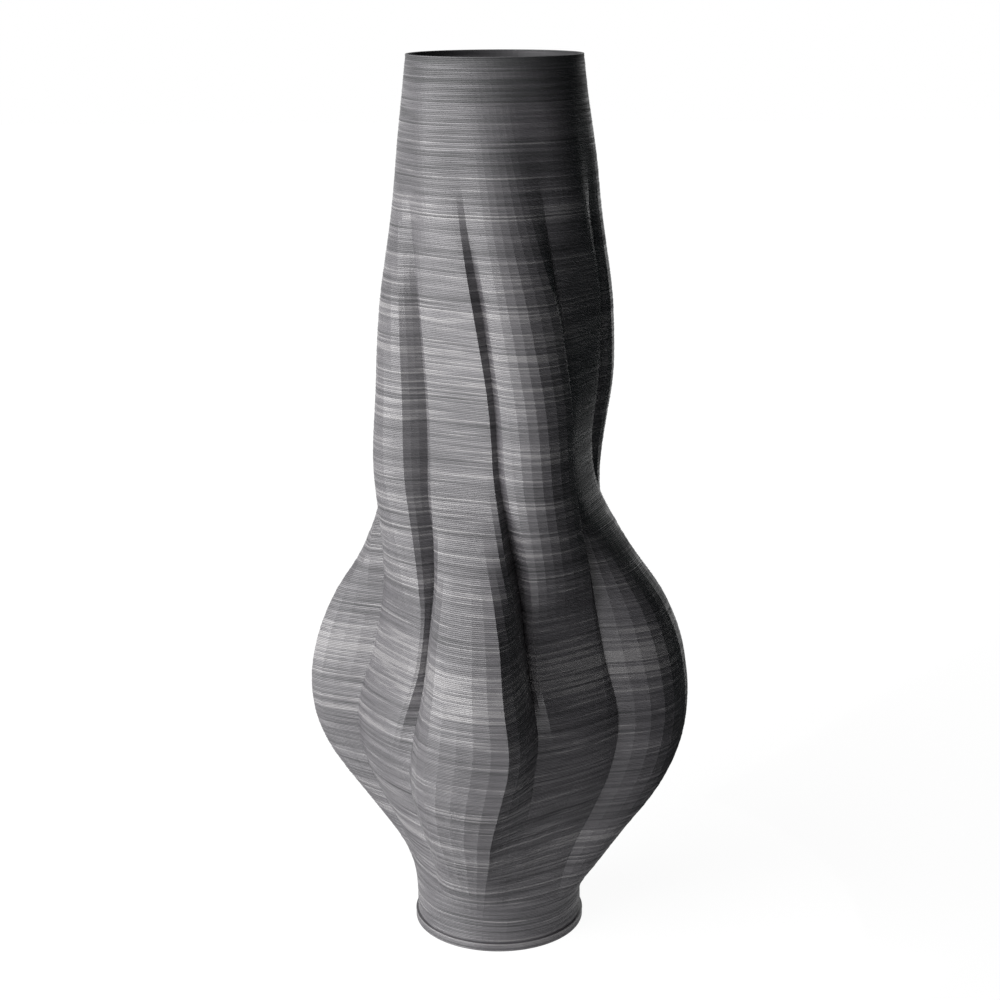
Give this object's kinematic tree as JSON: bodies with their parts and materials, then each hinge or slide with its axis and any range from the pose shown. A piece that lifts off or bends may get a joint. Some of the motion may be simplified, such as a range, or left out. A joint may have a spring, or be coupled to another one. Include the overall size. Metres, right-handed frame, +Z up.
{
  "type": "twisted lobed vase",
  "caption": "Tall hollow 3-D printed vase with twisted round lobes, a swollen belly, a fluted neck and a round open mouth.",
  "frame": {"origin": "centre of the round foot, on the face the vase stands on", "axes": "+Z up towards the mouth; the front is at -Y; +X is to the right of someone looking at the front"},
  "size_m": [0.1426, 0.1426, 0.33],
  "materials": {
    "wall_plastic": "satin, fine level print layers with layer-to-layer change of tone",
    "floor_plastic": "satin, printed layers"
  },
  "bodies": {
    "root": {"vase_wall": "wall_plastic", "base_disc": "floor_plastic"}
  },
  "joints": []
}
